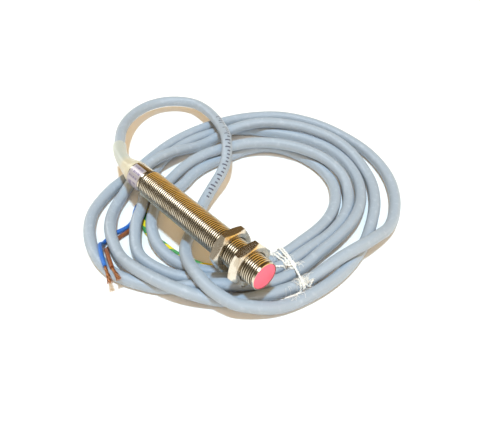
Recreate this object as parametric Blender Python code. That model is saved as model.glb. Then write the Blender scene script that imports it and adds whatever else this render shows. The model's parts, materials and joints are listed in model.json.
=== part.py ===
"""Cylindrical M12 inductive proximity sensor with a three-core cable in a loose tied coil.

The centre of the sensing face is the origin. The face looks along +X and the barrel runs back
along -X, above a floor at FLOOR_Z. Lengths are in millimetres here, and add_mesh and add_tube
turn them into metres. Cord heights are given above the floor.
"""
import math

import bmesh
import bpy
import numpy as np
from mathutils import Vector

MM = 0.001
SEGMENTS = 48
GAP = 0.3                      # between touching pieces
FINE_GAP = 0.12                # between the small pieces inside the sensing head

# Barrel: nickel-plated brass tube, threaded over most of its length.
BARREL_LENGTH = 80.0
THREAD_RADIUS = 6.0
THREAD_END = -71.5             # the plain rear section starts here
REAR_RADIUS = 5.45
BORE_RADIUS = 4.6
FACE_SEAT_RADIUS = 5.5
FACE_SEAT_DEPTH = 0.9
FRONT_COLLAR = 0.9
FRONT_COLLAR_RADIUS = 5.8

# Hexagon nuts, M12 x 1: 17 across flats, 4 thick. A nut's thread is a ring of its own, which
# carries the travel along the barrel while the hexagon turns on it.
NUT_FLATS = 17.0
NUT_THICKNESS = 4.0
NUT_BORE = 7.0
NUT_THREAD = (6.25, 6.85)      # inner and outer radius
NUT_CHAMFER_RADIUS = 8.2
NUT_CHAMFER_SLOPE = math.tan(math.radians(30.0))
FRONT_NUT_FACE = -6.4          # front face of each nut
REAR_NUT_FACE = -16.7
FRONT_NUT_CORNER = 7.6         # angle of one corner from +Y towards +Z, degrees
REAR_NUT_CORNER = 51.6

# Circuit board and the parts on it.
BOARD_FRONT = -9.4
BOARD_REAR = -62.0
BOARD_WIDTH = 7.4
BOARD_THICKNESS = 0.8

# Cable: PVC jacket with three cores.
CABLE_DIAMETER = 5.0
CORE_DIAMETER = 1.8
FLOOR_Z = -17.0                # below the barrel's axis
JACKET_START = -74.0
BOOT_END_STATION = 34.0        # along the cable from the start of its jacket

# Route of the cable from inside the barrel, round its free loop and on to the coil:
# x, y and the lowest height at which the cable's middle can lie.
LOOP = (
    (-74.0, 0.0, 17.0), (-80.0, 0.0, 17.0), (-86.0, 0.3, 16.7), (-92.5, 1.5, 15.8),
    (-99.0, 4.0, 14.5), (-105.5, 7.7, 13.1), (-112.0, 12.1, 11.7), (-118.5, 17.0, 10.3),
    (-124.5, 22.8, 8.8), (-129.5, 29.2, 7.4), (-133.2, 36.5, 6.4), (-134.8, 44.5, 5.6),
    (-133.2, 52.4, 5.4), (-128.2, 59.0, 5.4), (-120.5, 62.9, 5.8), (-111.0, 62.6, 7.0),
    (-101.4, 60.2, 8.5), (-91.3, 56.4, 9.8), (-82.4, 51.7, 10.2), (-74.9, 46.3, 10.0),
    (-68.9, 40.4, 9.2), (-64.6, 33.8, 7.6), (-61.4, 26.2, 5.6), (-57.6, 17.6, 3.6),
    (-52.2, 8.6, 3.0), (-46.0, 0.8, 3.0), (-39.9, -5.9, 4.2), (-32.4, -10.6, 6.4),
    (-23.6, -13.5, 7.4), (-15.8, -14.3, 7.5), (-8.6, -12.9, 7.0), (-2.4, -9.4, 6.0),
)
# Coil: radius of the cable's middle from COIL_CENTRE, every 30 degrees from 330 degrees on.
COIL_CENTRE = (-52.0, 35.0)
COIL_FIRST = 330.0
COIL_STEP = 30.0
COIL_RADII = (
    66.2, 61.0, 58.0, 60.0, 58.8, 52.8, 45.3, 41.6, 46.3, 56.7, 62.8,
    63.4, 58.6, 57.5, 65.6, 68.8, 68.0, 66.5, 58.0, 52.3, 52.3, 65.8, 69.2,
    58.3, 53.4, 48.3, 50.8, 54.3, 55.0, 51.3, 50.6, 46.9, 43.8, 43.9, 55.4,
    53.2, 47.8, 43.3, 46.0, 47.5, 40.8, 35.9, 30.3, 30.6, 33.4, 38.2, 46.6,
    48.0, 42.6, 38.2, 40.3, 42.4, 41.0, 38.3, 29.7, 27.2, 27.4,
)
COIL_ENTRY_RADIUS = 43.0
TAIL = ((-75.0, 17.6), (-73.9, 14.0))
HUMP_RADIUS = 22.0              # tightest rise or fall over another turn
TUCKED_TURN = (32.0, 100.0, 4.2)     # the first turn slips below the second between these angles
# Stripped cores: x, y, height above the floor, from the end of the jacket.
CORES = {
    "green_yellow": (
        (-71.8, 13.0, 1.0), (-71.4, 10.6, 1.0), (-71.6, 6.8, 1.0), (-72.8, 3.0, 1.0),
        (-73.4, 0.0, 1.0), (-72.0, -2.8, 1.0), (-68.4, -6.1, 1.0), (-64.6, -8.8, 1.0),
        (-60.4, -9.8, 1.0), (-56.2, -8.8, 1.0), (-52.3, -8.3, 1.0), (-47.5, -8.0, 1.0),
        (-43.0, -7.5, 1.0), (-38.4, -5.9, 1.0), (-33.1, -4.4, 1.0), (-28.8, -1.5, 1.0)),
    "blue": (
        (-75.7, 12.2, 1.0), (-76.6, 9.6, 1.0), (-78.4, 5.6, 1.0), (-79.6, 1.4, 1.0),
        (-78.9, -2.2, 1.0), (-76.5, -5.4, 1.0), (-73.3, -8.4, 1.0), (-71.0, -11.4, 1.0),
        (-70.1, -14.8, 1.0), (-70.3, -18.9, 1.0), (-69.7, -23.2, 1.1), (-67.9, -27.2, 1.7),
        (-65.3, -30.0, 4.7), (-61.2, -32.3, 6.4), (-57.1, -34.1, 6.4), (-52.2, -35.9, 6.4)),
    "brown": (
        (-73.7, 12.6, 1.0), (-74.2, 9.8, 1.0), (-75.8, 6.2, 1.0), (-77.0, 2.4, 1.0),
        (-76.6, -1.0, 1.0), (-74.4, -3.9, 1.0), (-71.4, -6.6, 1.0), (-68.9, -9.4, 1.0),
        (-67.9, -12.8, 1.0), (-67.5, -16.4, 1.0), (-67.0, -20.6, 1.0), (-65.7, -24.5, 1.2),
        (-63.6, -27.9, 1.9), (-60.8, -30.0, 4.9), (-57.2, -31.5, 6.4), (-53.2, -33.0, 6.4),
        (-49.9, -34.2, 6.4)),
}
CORE_ENDS = {
    "green_yellow": ((-28.5, -1.3, 1.0), (-26.4, 0.6, 1.0), (-24.8, 3.4, 0.8)),
    "blue": ((-51.8, -36.0, 6.4), (-48.3, -37.1, 6.4), (-43.8, -39.1, 6.2)),
    "brown": ((-49.5, -34.3, 6.4), (-46.6, -34.6, 6.4), (-43.0, -35.6, 6.2)),
}
COPPER_RADIUS = 0.6
TIE_ANGLE = 342.0
TIE_RADIUS = 0.6

COLOURS = {
    "nickel": ((0.62, 0.55, 0.42), 0.28, 1.0), "zinc": ((0.55, 0.52, 0.45), 0.32, 1.0),
    "face_plastic": ((0.98, 0.22, 0.30), 0.45, 0.0), "ferrite": ((0.06, 0.06, 0.065), 0.7, 0.0),
    "bobbin_plastic": ((0.85, 0.83, 0.76), 0.5, 0.0), "copper": ((0.78, 0.42, 0.24), 0.3, 1.0),
    "board": ((0.07, 0.26, 0.12), 0.5, 0.0), "component": ((0.035, 0.035, 0.04), 0.5, 0.0),
    "ceramic": ((0.12, 0.25, 0.5), 0.45, 0.0), "resin": ((0.10, 0.10, 0.11), 0.55, 0.0),
    "label": ((0.66, 0.64, 0.72), 0.4, 0.3), "boot_plastic": ((0.88, 0.82, 0.66), 0.35, 0.0),
    "cable_jacket": ((0.50, 0.55, 0.62), 0.42, 0.0), "string": ((0.93, 0.92, 0.88), 0.9, 0.0),
    "blue": ((0.04, 0.20, 0.60), 0.4, 0.0), "brown": ((0.28, 0.12, 0.05), 0.4, 0.0),
    "green_yellow": ((0.62, 0.70, 0.10), 0.4, 0.0), "steel": ((0.6, 0.6, 0.6), 0.3, 1.0),
}


# ---------------------------------------------------------------- building helpers

def clear_scene():
    """Remove every object of the start-up scene."""
    for item in list(bpy.data.objects):
        bpy.data.objects.remove(item, do_unlink=True)


def finish_of(slot, name):
    """A Principled material of the slot's colour, named for the sub-part."""
    colour, roughness, metallic = COLOURS[slot]
    made = bpy.data.materials.new(name)
    made.use_nodes = True
    shader = made.node_tree.nodes["Principled BSDF"]
    shader.inputs["Base Color"].default_value = (*colour, 1.0)
    shader.inputs["Roughness"].default_value = roughness
    shader.inputs["Metallic"].default_value = metallic
    return made


def add_mesh(name, bm, slot):
    """Turn a bmesh in millimetres into a named, smooth-shaded object in metres."""
    bmesh.ops.recalc_face_normals(bm, faces=bm.faces)
    bmesh.ops.scale(bm, vec=(MM, MM, MM), verts=bm.verts)
    mesh = bpy.data.meshes.new(name)
    bm.to_mesh(mesh)
    bm.free()
    mesh.shade_smooth()
    mesh.set_sharp_from_angle(angle=math.radians(35.0))
    mesh.materials.append(finish_of(slot, name))
    made = bpy.data.objects.new(name, mesh)
    bpy.context.collection.objects.link(made)
    return made


def add_tube(name, points, radius, slot, closed=False, sides=2):
    """A round tube through points, which are in millimetres with z above the floor."""
    curve = bpy.data.curves.new(name, "CURVE")
    curve.dimensions = "3D"
    curve.bevel_depth = radius * MM
    curve.bevel_resolution = sides
    curve.use_fill_caps = not closed
    spline = curve.splines.new("POLY")
    spline.points.add(len(points) - 1)
    for knot, (x, y, z) in zip(spline.points, points):
        knot.co = (x * MM, y * MM, (z + FLOOR_Z) * MM, 1.0)
    spline.use_cyclic_u = closed
    spline.use_smooth = True
    curve.materials.append(finish_of(slot, name))
    made = bpy.data.objects.new(name, curve)
    bpy.context.collection.objects.link(made)
    return made


def join_rings(bm, one, two):
    """Fill between two rings of vertices, either of which may be a single point."""
    count = max(len(one), len(two))
    for i in range(count if len(one) + len(two) > 2 else 0):
        j = (i + 1) % count
        corners = [one[i % len(one)], one[j % len(one)], two[j % len(two)], two[i % len(two)]]
        bm.faces.new(list(dict.fromkeys(corners)))


def skin(bm, rings):
    """Fill between each ring and the next, and from the last back to the first."""
    for one, two in zip(rings, rings[1:] + rings[:1]):
        join_rings(bm, one, two)


def lathe(name, profile, slot, y=0.0, z=0.0, segments=SEGMENTS):
    """Turned piece about the line along X through (y, z); profile is a loop of (x, radius)."""
    bm = bmesh.new()
    rings = []
    for x, radius in profile:
        angles = [2.0 * math.pi * i / segments for i in range(segments if radius else 1)]
        rings.append([bm.verts.new((x, y + radius * math.cos(a), z + radius * math.sin(a)))
                      for a in angles])
    skin(bm, rings)
    return add_mesh(name, bm, slot)


def add_box(bm, low, high):
    """Add one closed box between two corners."""
    size = Vector(high) - Vector(low)
    made = bmesh.ops.create_cube(bm, size=1.0)["verts"]
    bmesh.ops.scale(bm, vec=size, verts=made)
    bmesh.ops.translate(bm, vec=(Vector(high) + Vector(low)) / 2.0, verts=made)


def boxes(name, corners, slot):
    """One node of one or more separate boxes."""
    bm = bmesh.new()
    for low, high in corners:
        add_box(bm, low, high)
    return add_mesh(name, bm, slot)


# ---------------------------------------------------------------- the cable's route

def smooth_curve(knots, steps):
    """Points on the Catmull-Rom curve through knots, with the columns of the knots."""
    knots = np.asarray(knots, float)
    knots = np.vstack([2 * knots[0] - knots[1], knots, 2 * knots[-1] - knots[-2]])
    points = []
    for a, b, c, d in zip(knots, knots[1:], knots[2:], knots[3:]):
        for t in np.linspace(0.0, 1.0, steps, endpoint=False):
            points.append(0.5 * (2 * b + (c - a) * t + (2 * a - 5 * b + 4 * c - d) * t * t
                                 + (3 * b - a - 3 * c + d) * t ** 3))
    points.append(knots[-2])
    return np.array(points)


def evenly(points, step):
    """The same line with a point every step millimetres, and each point's distance along it."""
    length = np.linalg.norm(np.diff(points[:, :3], axis=0), axis=1)
    along = np.concatenate([[0.0], np.cumsum(length)])
    stations = np.linspace(0.0, along[-1], int(round(along[-1] / step)) + 1)
    columns = [np.interp(stations, along, points[:, k]) for k in range(points.shape[1])]
    return np.stack(columns, axis=1), stations


def coil_knots():
    """Knots of the coil every 15 degrees: x, y, lowest height and angle turned from 300."""
    halves = smooth_curve(np.array(COIL_RADII)[:, None], 2)[:, 0]
    angles = COIL_FIRST + np.arange(len(halves)) * COIL_STEP / 2.0
    rows = []
    for radius, angle in zip(halves, angles):
        x = COIL_CENTRE[0] + radius * math.cos(math.radians(angle))
        y = COIL_CENTRE[1] + radius * math.sin(math.radians(angle))
        rows.append((x, y, CABLE_DIAMETER / 2.0, angle - 300.0))
    return rows


def cable_plan():
    """The cable's route seen from above, with its lowest heights and turn angles."""
    coil = coil_knots()
    knots = [(x, y, h, 0.0) for x, y, h in LOOP] + coil
    knots += [(x, y, CABLE_DIAMETER / 2.0, coil[-1][3]) for x, y in TAIL]
    return evenly(smooth_curve(knots, 8), 2.0)


def below_nuts(x, y, clearance):
    """Greatest height at (x, y) that keeps clearance under a nut turning on the barrel."""
    reach = NUT_FLATS / math.sqrt(3.0) + clearance
    travelled = (x > THREAD_END) & (x < 1.0) & (np.abs(y) < reach)
    inside = np.sqrt(np.clip(reach ** 2 - np.asarray(y) ** 2, 0.0, None))
    return np.where(travelled, -FLOOR_Z - inside, 99.0)


def core_obstacles():
    """Points of the stripped cores where the cable lies over them."""
    lying = [evenly(smooth_curve(route, 6), 1.0)[0] for route in CORES.values()]
    lying = np.vstack(lying)
    return lying[lying[:, 2] < 2.0]


def settle(plan, along):
    """Height of the cable's middle at each point, later turns lying below earlier ones.

    The cable rests on the floor, on the cores and on its own turns, with no hump shorter
    than a stiff cable can make.
    """
    turn = plan[:, 3]
    rank = 6.0 - turn / 360.0
    rank[(turn > TUCKED_TURN[0]) & (turn < TUCKED_TURN[1])] = TUCKED_TURN[2]
    apart = np.linalg.norm(plan[:, None, :2] - plan[None, :, :2], axis=2)
    between = np.abs(along[:, None] - along[None])
    touch = CABLE_DIAMETER + 0.06
    rise = np.sqrt(np.clip(touch ** 2 - apart ** 2, 0.0, None))
    above = (apart < touch) & (between > 15.0) & (rank[:, None] > rank[None])
    core = core_obstacles()
    reach = (CABLE_DIAMETER + CORE_DIAMETER) / 2.0
    away = np.linalg.norm(plan[:, None, :2] - core[None, :, :2], axis=2)
    on_core = (core[None, :, 2] + np.sqrt(np.clip(reach ** 2 - away ** 2, 0.0, None))) * (away < reach)
    on_core[turn > coil_knots()[-3][3]] = 0.0
    lowest = np.maximum(plan[:, 2], on_core.max(axis=1))
    kernel = np.exp(-0.5 * (np.arange(-6, 7) * 2.0 / 4.0) ** 2)
    kernel /= kernel.sum()
    height = lowest.copy()
    for _ in range(12):
        needed = np.maximum(lowest, np.where(above, height[None] + rise, 0.0).max(axis=1))
        height = np.max(needed[None] - between ** 2 / (2.0 * HUMP_RADIUS), axis=1)
        height = np.maximum(np.convolve(np.pad(height, 6, mode="edge"), kernel, "valid"), needed)
    return np.minimum(height, below_nuts(plan[:, 0], plan[:, 1], CABLE_DIAMETER / 2.0 + 0.1))


def cable_line():
    """Middle of the whole cable (x, y, height) every 2 mm, and where its coil begins."""
    plan, along = cable_plan()
    line = np.column_stack([plan[:, :2], settle(plan, along)])
    inner = np.hypot(plan[:, 0] - COIL_CENTRE[0], plan[:, 1] - COIL_CENTRE[1])
    below_barrel = (np.abs(plan[:, 0] + 46.0) < 12.0) & (plan[:, 3] == 0.0) & (inner > COIL_ENTRY_RADIUS)
    below_barrel &= plan[:, 1] < 0.0
    return line, along, int(np.argmax(below_barrel))


# ---------------------------------------------------------------- sensing head and barrel

def make_barrel():
    """Threaded tube with a seat for the sensing face; its thread is a plain cylinder here."""
    rear = -BARREL_LENGTH
    lathe("barrel", [
        (rear, BORE_RADIUS), (rear, REAR_RADIUS - 0.3), (rear + 0.3, REAR_RADIUS),
        (THREAD_END, REAR_RADIUS), (THREAD_END + 0.5, THREAD_RADIUS),
        (-FRONT_COLLAR - 0.4, THREAD_RADIUS), (-FRONT_COLLAR, FRONT_COLLAR_RADIUS),
        (-0.1, FRONT_COLLAR_RADIUS), (0.0, FRONT_COLLAR_RADIUS - 0.1), (0.0, FACE_SEAT_RADIUS),
        (-FACE_SEAT_DEPTH, FACE_SEAT_RADIUS), (-FACE_SEAT_DEPTH, BORE_RADIUS)], "nickel")


def make_sensing_head():
    """Plastic face cap, pot core, bobbin and winding, one inside the other."""
    skirt = BORE_RADIUS - FINE_GAP
    inside = skirt - 0.5
    back = FACE_SEAT_DEPTH - FINE_GAP
    lathe("sensing_cap", [
        (0.0, 0.0), (0.0, FACE_SEAT_RADIUS - FINE_GAP), (-back, FACE_SEAT_RADIUS - FINE_GAP),
        (-back, skirt), (-9.0, skirt), (-9.0, inside), (-back, inside), (-back, 0.0)],
        "face_plastic")
    core_front = -back - FINE_GAP
    core_back = core_front - 4.6
    wall = inside - FINE_GAP
    lathe("ferrite_core", [
        (core_back, 0.0), (core_back, wall), (core_front, wall), (core_front, wall - 0.7),
        (core_back + 1.2, wall - 0.7), (core_back + 1.2, 1.3), (core_front, 1.3),
        (core_front, 0.0)], "ferrite")
    front, rear = core_front - 0.2, core_back + 1.2 + FINE_GAP
    tube, rim = 1.3 + FINE_GAP, wall - 0.7 - FINE_GAP
    lathe("coil_bobbin", [
        (rear, tube), (rear, rim), (rear + 0.25, rim), (rear + 0.25, tube + 0.25),
        (front - 0.25, tube + 0.25), (front - 0.25, rim), (front, rim), (front, tube)],
        "bobbin_plastic")
    lathe("coil_winding", [
        (rear + 0.25 + FINE_GAP, tube + 0.25 + FINE_GAP), (rear + 0.25 + FINE_GAP, rim - 0.1),
        (front - 0.25 - FINE_GAP, rim - 0.1), (front - 0.25 - FINE_GAP, tube + 0.25 + FINE_GAP)],
        "copper")


def make_circuit():
    """Board with the oscillator, mains switching parts and their passives."""
    half = BOARD_WIDTH / 2.0
    top = BOARD_THICKNESS / 2.0
    boxes("circuit_board", [((BOARD_REAR, -half, -top), (BOARD_FRONT, half, top))], "board")
    on_top = top + FINE_GAP
    boxes("oscillator_chip", [((-17.0, -2.0, on_top), (-12.0, 2.0, on_top + 1.4))], "component")
    boxes("output_thyristor", [((-30.0, -2.3, on_top), (-23.0, 2.3, on_top + 2.2))], "component")
    boxes("bridge_rectifier", [((-40.0, -2.4, on_top), (-34.0, 2.4, on_top + 2.3))], "component")
    lathe("filter_capacitor", [(-53.0, 0.0), (-53.0, 1.7), (-43.0, 1.7), (-43.0, 0.0)],
          "ceramic", z=on_top + 1.7, segments=24)
    lathe("trim_resistor", [(-20.8, 0.0), (-20.8, 0.8), (-18.4, 0.8), (-18.4, 0.0)],
          "ceramic", z=on_top + 0.8, segments=16)
    boxes("varistor", [((-40.0, -2.6, -on_top - 2.0), (-34.5, 2.6, -on_top))], "ceramic")
    for i in range(4):
        front, side = -14.0 - 4.5 * i, -0.65 if i % 2 else 0.65
        boxes("chip_resistor_%d" % (i + 1), [
            ((front - 2.0, side - 0.65, -on_top - 0.6), (front, side + 0.65, -on_top))],
            "component")
    boxes("earth_tab", [((-65.2, -1.0, 4.05), (-56.0, 1.0, 4.3))], "steel")
    lathe("potting_plug", [
        (-71.0, 2.9), (-71.0, BORE_RADIUS - GAP), (-65.5, BORE_RADIUS - GAP), (-65.5, 2.9)],
        "resin")


def make_inner_leads():
    """The cable's three cores inside the barrel, from the jacket to the board."""
    leads = {"brown": (-1.1, -0.8), "blue": (1.1, -0.8), "green_yellow": (0.0, 1.2)}
    for colour, (y, z) in leads.items():
        end = BOARD_REAR - GAP if colour != "green_yellow" else -57.6
        rise = 1.45 if colour == "green_yellow" else 0.0
        axis = -FLOOR_Z
        points = [(JACKET_START + GAP, y, axis + z), (-70.0, y, axis + z),
                  (-66.0, y, axis + z + 0.3 * rise), (end, y, axis + z + rise)]
        add_tube("inner_lead_" + colour, points, 0.75, colour)


def make_label():
    """Thin printed label wrapped part of the way round the plain rear section."""
    inner, outer = REAR_RADIUS + 0.1, REAR_RADIUS + 0.25
    first, last = math.radians(88.0), math.radians(300.0)
    steps = 26
    bm = bmesh.new()
    rings = []
    for i in range(steps + 1):
        angle = first + (last - first) * i / steps
        y, z = math.cos(angle), math.sin(angle)
        section = ((-79.4, inner), (-72.4, inner), (-72.4, outer), (-79.4, outer))
        rings.append([bm.verts.new((x, radius * y, radius * z)) for x, radius in section])
    for one, two in zip(rings, rings[1:]):
        join_rings(bm, one, two)
    bm.faces.new(rings[0])
    bm.faces.new(rings[-1])
    add_mesh("type_label", bm, "label")


# ---------------------------------------------------------------- nuts

def make_nut(name, face, corner):
    """Hexagon nut chamfered on both faces; corner is the angle of one of its corners."""
    bm = bmesh.new()
    columns = []
    for i in range(72):
        turned = math.radians(5.0 * i)
        off_flat = (turned + math.radians(30.0)) % math.radians(60.0) - math.radians(30.0)
        off_flat = math.radians(30.0) - abs(off_flat)
        radius = NUT_FLATS / 2.0 / math.cos(off_flat)
        cut = (radius - NUT_CHAMFER_RADIUS) * NUT_CHAMFER_SLOPE
        rear = face - NUT_THICKNESS
        section = ((rear, NUT_BORE), (rear, NUT_CHAMFER_RADIUS), (rear + cut, radius),
                   (face - cut, radius), (face, NUT_CHAMFER_RADIUS), (face, NUT_BORE))
        angle = turned + math.radians(corner)
        columns.append([bm.verts.new((x, r * math.cos(angle), r * math.sin(angle)))
                        for x, r in section])
    skin(bm, columns)
    add_mesh(name, bm, "zinc")


def make_nut_thread(name, face):
    """Ring of the nut's own internal thread."""
    front, rear = face - GAP, face - NUT_THICKNESS + GAP
    inner, outer = NUT_THREAD
    lathe(name, [(rear, inner), (rear, outer), (front, outer), (front, inner)], "zinc")


# ---------------------------------------------------------------- cable, boot, cores and string

def make_boot(line, along):
    """Tapered cream boot and its sleeve, hollow for the cable that passes through it."""
    shape = ((2.0, 4.3), (6.3, 4.3), (6.3, 5.1), (7.6, 5.15), (9.5, 4.6), (11.5, 4.05),
             (13.5, 3.7), (15.5, 3.3), (19.0, 3.1), (24.0, 3.0), (29.0, 3.0),
             (BOOT_END_STATION, 3.0))
    bm = bmesh.new()
    outer, inner = [], []
    for station, radius in shape:
        here = Vector([np.interp(station, along, line[:, k]) for k in range(3)])
        ahead = Vector([np.interp(station + 0.5, along, line[:, k]) for k in range(3)])
        forward = (ahead - here).normalized()
        side = forward.cross(Vector((0.0, 0.0, 1.0))).normalized()
        up = side.cross(forward)
        for rings, size in ((outer, radius), (inner, CABLE_DIAMETER / 2.0 + 0.15)):
            rings.append([])
            for i in range(24):
                angle = 2.0 * math.pi * i / 24
                place = here + size * (math.cos(angle) * side + math.sin(angle) * up)
                rings[-1].append(bm.verts.new(place + Vector((0.0, 0.0, FLOOR_Z))))
    skin(bm, outer + inner[::-1])
    add_mesh("cable_boot", bm, "boot_plastic")


def make_cable_loop(line, along, coil_start):
    """Tube for the cable from inside the barrel to where its coil begins."""
    stations = list(np.arange(0.0, BOOT_END_STATION, 3.5))
    free = along[coil_start] - stations[-1]
    count = int(round(free / 9.0))
    stations += [stations[-1] + free * (i + 1) / count for i in range(count)]
    points = [[np.interp(s, along, line[:, k]) for k in range(3)] for s in stations]
    add_tube("cable_loop", points, CABLE_DIAMETER / 2.0, "cable_jacket")


def lying_above(line, coil_start):
    """Points and radius of whatever lies over the coil: the free loop, and the raised cores."""
    above = [(line[:coil_start], CABLE_DIAMETER / 2.0, 3.0 * GAP)]
    for colour, route in CORES.items():
        raised = evenly(smooth_curve(route + CORE_ENDS[colour], 6), 1.0)[0]
        above.append((raised[raised[:, 2] > 4.0], CORE_DIAMETER / 2.0, GAP))
    return above


def coil_section(line, coil_start, angle, above):
    """Bottom, outer edge and stepped top of the coil's outer shape at one angle (degrees)."""
    offset = line[coil_start + 6:, :2] - np.array(COIL_CENTRE)
    radii = np.hypot(offset[:, 0], offset[:, 1])
    bearing = np.degrees(np.arctan2(offset[:, 1], offset[:, 0]))
    near = np.abs((bearing - angle + 180.0) % 360.0 - 180.0) < 3.0
    strand = CABLE_DIAMETER / 2.0
    inner, outer = radii[near].min() - strand, radii[near].max() + strand
    if 236.0 < angle < 266.0:
        outer = min(outer, 62.8)       # the stripped cores climb outside this edge
    bottom = 2.5 if 219.0 <= angle <= 311.0 else 1.4 if abs(angle - TIE_ANGLE) < 6.0 else 0.0
    points = [(inner, bottom), (outer, bottom)]
    heading = np.array([math.cos(math.radians(angle)), math.sin(math.radians(angle))])
    for i in range(7):
        radius = outer + (inner - outer) * i / 6.0
        place = np.array(COIL_CENTRE) + radius * heading
        close = np.hypot(*(line[coil_start:, :2] - place).T) < 4.0
        top = line[coil_start:, 2][close].max() + strand if close.any() else CABLE_DIAMETER
        for points_above, size, gap in above:
            beside = np.hypot(*(points_above[:, :2] - place).T) < size + 4.5
            if beside.any():
                top = min(top, points_above[:, 2][beside].min() - size - gap)
        top = min(top, float(below_nuts(place[0], max(abs(place[1]) - 2.0, 0.0), GAP)))
        points.append((radius, top))
    return points


def make_cable_coil(line, coil_start):
    """One closed ring of the outer shape of the whole coil."""
    bm = bmesh.new()
    columns = []
    for i in range(72):
        angle = 5.0 * i
        x, y = math.cos(math.radians(angle)), math.sin(math.radians(angle))
        section = coil_section(line, coil_start, angle, lying_above(line, coil_start))
        columns.append([bm.verts.new((COIL_CENTRE[0] + r * x, COIL_CENTRE[1] + r * y, h + FLOOR_Z))
                        for r, h in section])
    skin(bm, columns)
    add_mesh("cable_coil", bm, "cable_jacket")


def make_tie(line, coil_start):
    """String tied once round the bundle of turns."""
    section = coil_section(line, coil_start, TIE_ANGLE, lying_above(line, coil_start))
    inner, outer = section[0][0], section[1][0]
    lift = TIE_RADIUS + GAP
    loop = [(inner - lift, 0.8), (outer + lift, 0.8), (outer + lift, section[2][1] + lift)]
    loop += [(radius, top + lift) for radius, top in section[3:-1]]
    loop += [(inner - lift, section[-1][1] + lift)]
    x, y = math.cos(math.radians(TIE_ANGLE)), math.sin(math.radians(TIE_ANGLE))
    points = [(COIL_CENTRE[0] + r * x, COIL_CENTRE[1] + r * y, h) for r, h in loop]
    add_tube("tie_string", points, TIE_RADIUS, "string", closed=True)


def make_cores():
    """Coloured cores beyond the end of the jacket, each with its bared copper."""
    for colour, route in CORES.items():
        points = evenly(smooth_curve(route, 6), 3.5)[0]
        add_tube("core_" + colour, points, CORE_DIAMETER / 2.0, colour)
        add_tube("copper_end_" + colour, CORE_ENDS[colour], COPPER_RADIUS, "copper")


def main():
    """Build every sub-part of the sensor."""
    clear_scene()
    make_barrel()
    make_sensing_head()
    make_circuit()
    make_inner_leads()
    make_label()
    for name, face, corner in (("front_nut", FRONT_NUT_FACE, FRONT_NUT_CORNER),
                               ("rear_nut", REAR_NUT_FACE, REAR_NUT_CORNER)):
        make_nut(name, face, corner)
        make_nut_thread(name + "_thread", face)
    line, along, coil_start = cable_line()
    make_boot(line, along)
    make_cable_loop(line, along, coil_start)
    make_cable_coil(line, coil_start)
    make_tie(line, coil_start)
    make_cores()


main()
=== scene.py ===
"""Looks of the inductive proximity sensor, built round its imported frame.

Lengths are metres in the frame's own axes: the sensing face's centre is the origin, +X runs out of
it along the barrel, and +Z is up. The cable's route is worked out in millimetres, with heights
above the floor, exactly as the part's design does it.
"""
import json
import logging
import math
from dataclasses import dataclass
from enum import Enum
from typing import Callable, Iterable, Sequence

import bmesh
import bpy
import numpy as np
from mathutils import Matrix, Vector

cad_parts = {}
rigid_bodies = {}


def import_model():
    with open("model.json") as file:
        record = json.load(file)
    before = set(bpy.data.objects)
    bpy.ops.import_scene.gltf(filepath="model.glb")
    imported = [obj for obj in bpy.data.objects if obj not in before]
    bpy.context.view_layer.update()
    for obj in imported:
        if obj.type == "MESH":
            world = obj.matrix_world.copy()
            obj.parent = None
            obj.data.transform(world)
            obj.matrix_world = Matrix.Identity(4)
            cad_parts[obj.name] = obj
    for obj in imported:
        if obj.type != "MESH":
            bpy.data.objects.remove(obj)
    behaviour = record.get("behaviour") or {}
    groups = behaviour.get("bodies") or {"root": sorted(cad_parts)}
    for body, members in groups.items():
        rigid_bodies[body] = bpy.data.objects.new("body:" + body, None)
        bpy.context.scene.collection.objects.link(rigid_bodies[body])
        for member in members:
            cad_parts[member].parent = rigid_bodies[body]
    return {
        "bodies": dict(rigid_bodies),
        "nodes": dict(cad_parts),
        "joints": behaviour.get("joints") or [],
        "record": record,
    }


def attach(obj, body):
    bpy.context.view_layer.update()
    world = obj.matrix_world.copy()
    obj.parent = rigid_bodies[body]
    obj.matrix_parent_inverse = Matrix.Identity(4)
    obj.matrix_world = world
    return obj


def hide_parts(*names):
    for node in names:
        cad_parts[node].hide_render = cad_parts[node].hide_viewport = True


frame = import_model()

logging.basicConfig(level=logging.INFO, format="%(message)s")
LOG = logging.getLogger("sensor")

MM = 0.001
GOLDEN_ANGLE = 2.399                 # radians between neighbours in an evenly filled disc
FLOOR_Z = -17.0                       # millimetres below the barrel's axis
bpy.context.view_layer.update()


# ------------------------------------------------------------------ the cable's route (mm)

CABLE_DIAMETER = 5.0
CORE_DIAMETER = 1.8
NUT_FLATS = 17.0
THREAD_END = -71.5
BOOT_END_STATION = 34.0
LOOP = (
    (-74.0, 0.0, 17.0), (-80.0, 0.0, 17.0), (-86.0, 0.3, 16.7), (-92.5, 1.5, 15.8),
    (-99.0, 4.0, 14.5), (-105.5, 7.7, 13.1), (-112.0, 12.1, 11.7), (-118.5, 17.0, 10.3),
    (-124.5, 22.8, 8.8), (-129.5, 29.2, 7.4), (-133.2, 36.5, 6.4), (-134.8, 44.5, 5.6),
    (-133.2, 52.4, 5.4), (-128.2, 59.0, 5.4), (-120.5, 62.9, 5.8), (-111.0, 62.6, 7.0),
    (-101.4, 60.2, 8.5), (-91.3, 56.4, 9.8), (-82.4, 51.7, 10.2), (-74.9, 46.3, 10.0),
    (-68.9, 40.4, 9.2), (-64.6, 33.8, 7.6), (-61.4, 26.2, 5.6), (-57.6, 17.6, 3.6),
    (-52.2, 8.6, 3.0), (-46.0, 0.8, 3.0), (-39.9, -5.9, 4.2), (-32.4, -10.6, 6.4),
    (-23.6, -13.5, 7.4), (-15.8, -14.3, 7.5), (-8.6, -12.9, 7.0), (-2.4, -9.4, 6.0),
)
COIL_CENTRE = (-52.0, 35.0)
COIL_FIRST = 330.0
COIL_STEP = 30.0
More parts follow.
